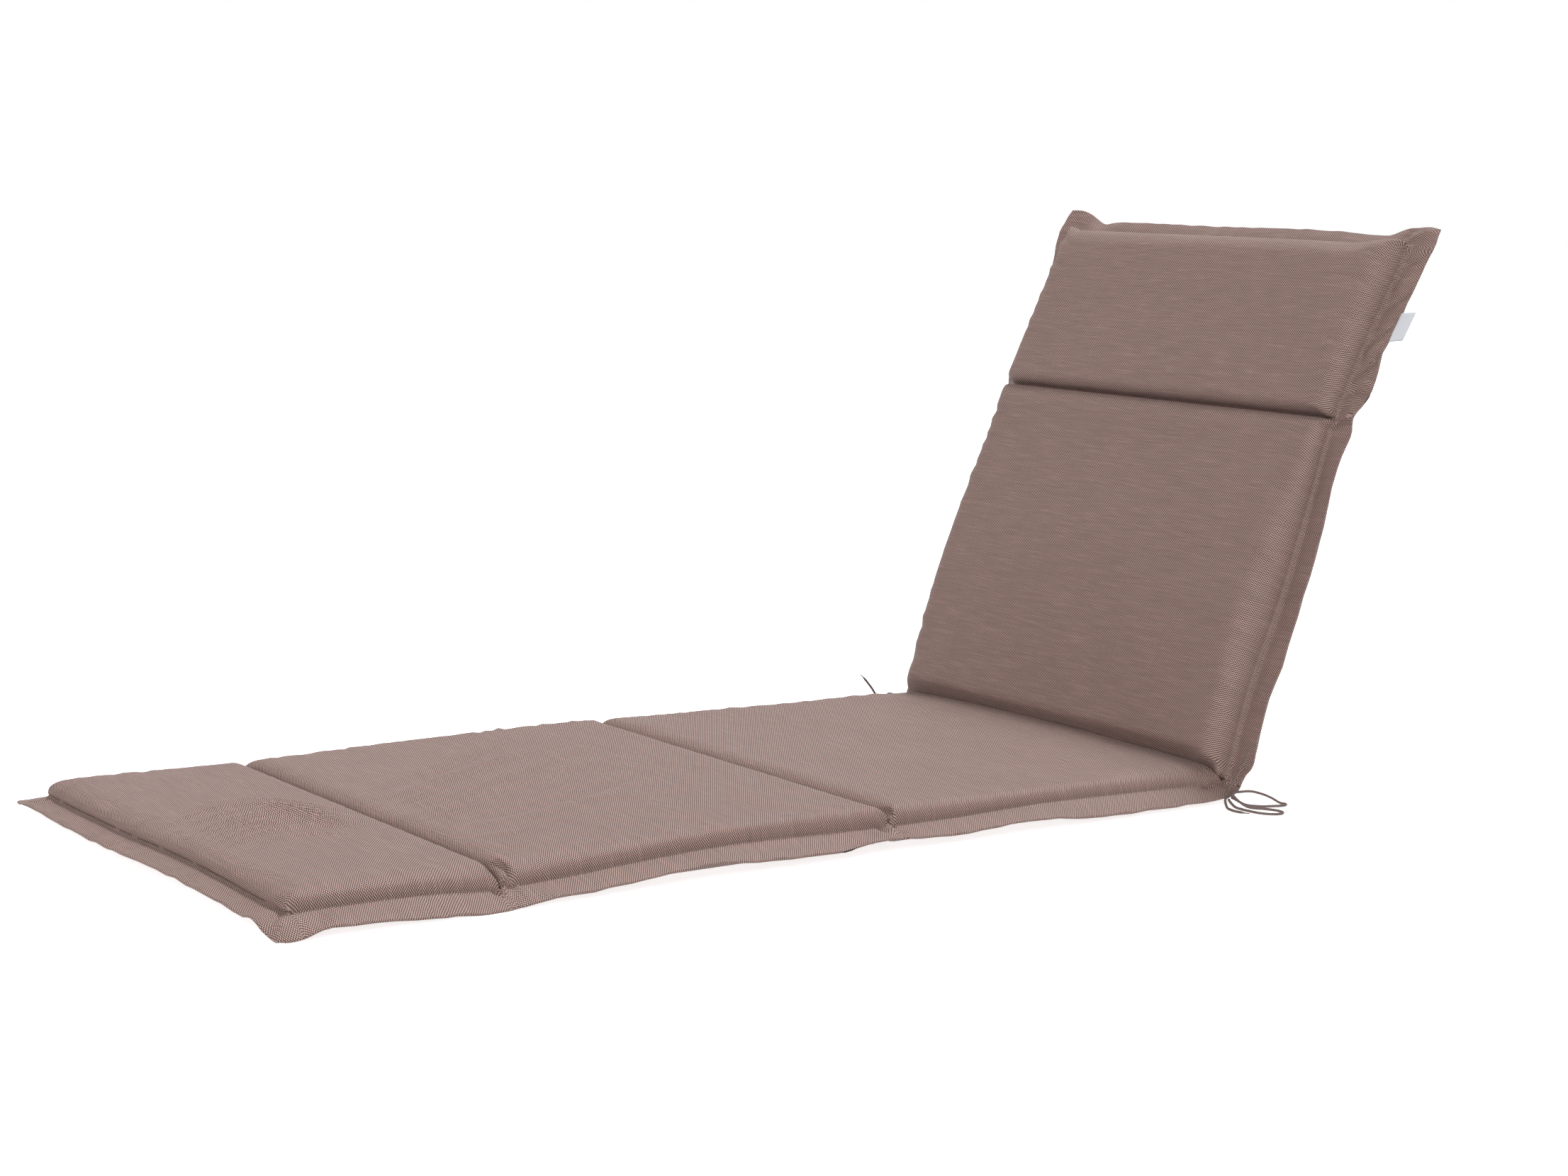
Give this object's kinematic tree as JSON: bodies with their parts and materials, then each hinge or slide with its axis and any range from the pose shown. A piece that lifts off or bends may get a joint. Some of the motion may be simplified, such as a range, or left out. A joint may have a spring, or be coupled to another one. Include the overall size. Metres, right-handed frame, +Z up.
{
  "type": "sun lounger cushion",
  "caption": "Long quilted lounger cushion with a sewn flange and cross channels, its back section raised, with cord ties at the fold.",
  "frame": {"origin": "on the underside, at the middle of the seat section and of the cushion's width", "axes": "+Y from the foot edge towards the head, +Z up, +X towards the side that carries the label, which is the side nearest the picture's camera"},
  "size_m": [0.7287, 1.4109, 0.6241],
  "materials": {
    "cover_cloth": "two-tone plain weave in taupe, matt with a soft sheen",
    "tie_cord": "braided cord in the cloth's darker tone",
    "label_satin": "white satin tape, blank"
  },
  "bodies": {
    "root": {"cushion": "cover_cloth", "label": "label_satin", "tie_near_knot": "tie_cord", "tie_near_loop_a": "tie_cord", "tie_near_loop_b": "tie_cord", "tie_near_end_a": "tie_cord", "tie_near_end_b": "tie_cord", "tie_far_knot": "tie_cord", "tie_far_loop_a": "tie_cord", "tie_far_loop_b": "tie_cord", "tie_far_end_a": "tie_cord", "tie_far_end_b": "tie_cord"}
  },
  "joints": []
}
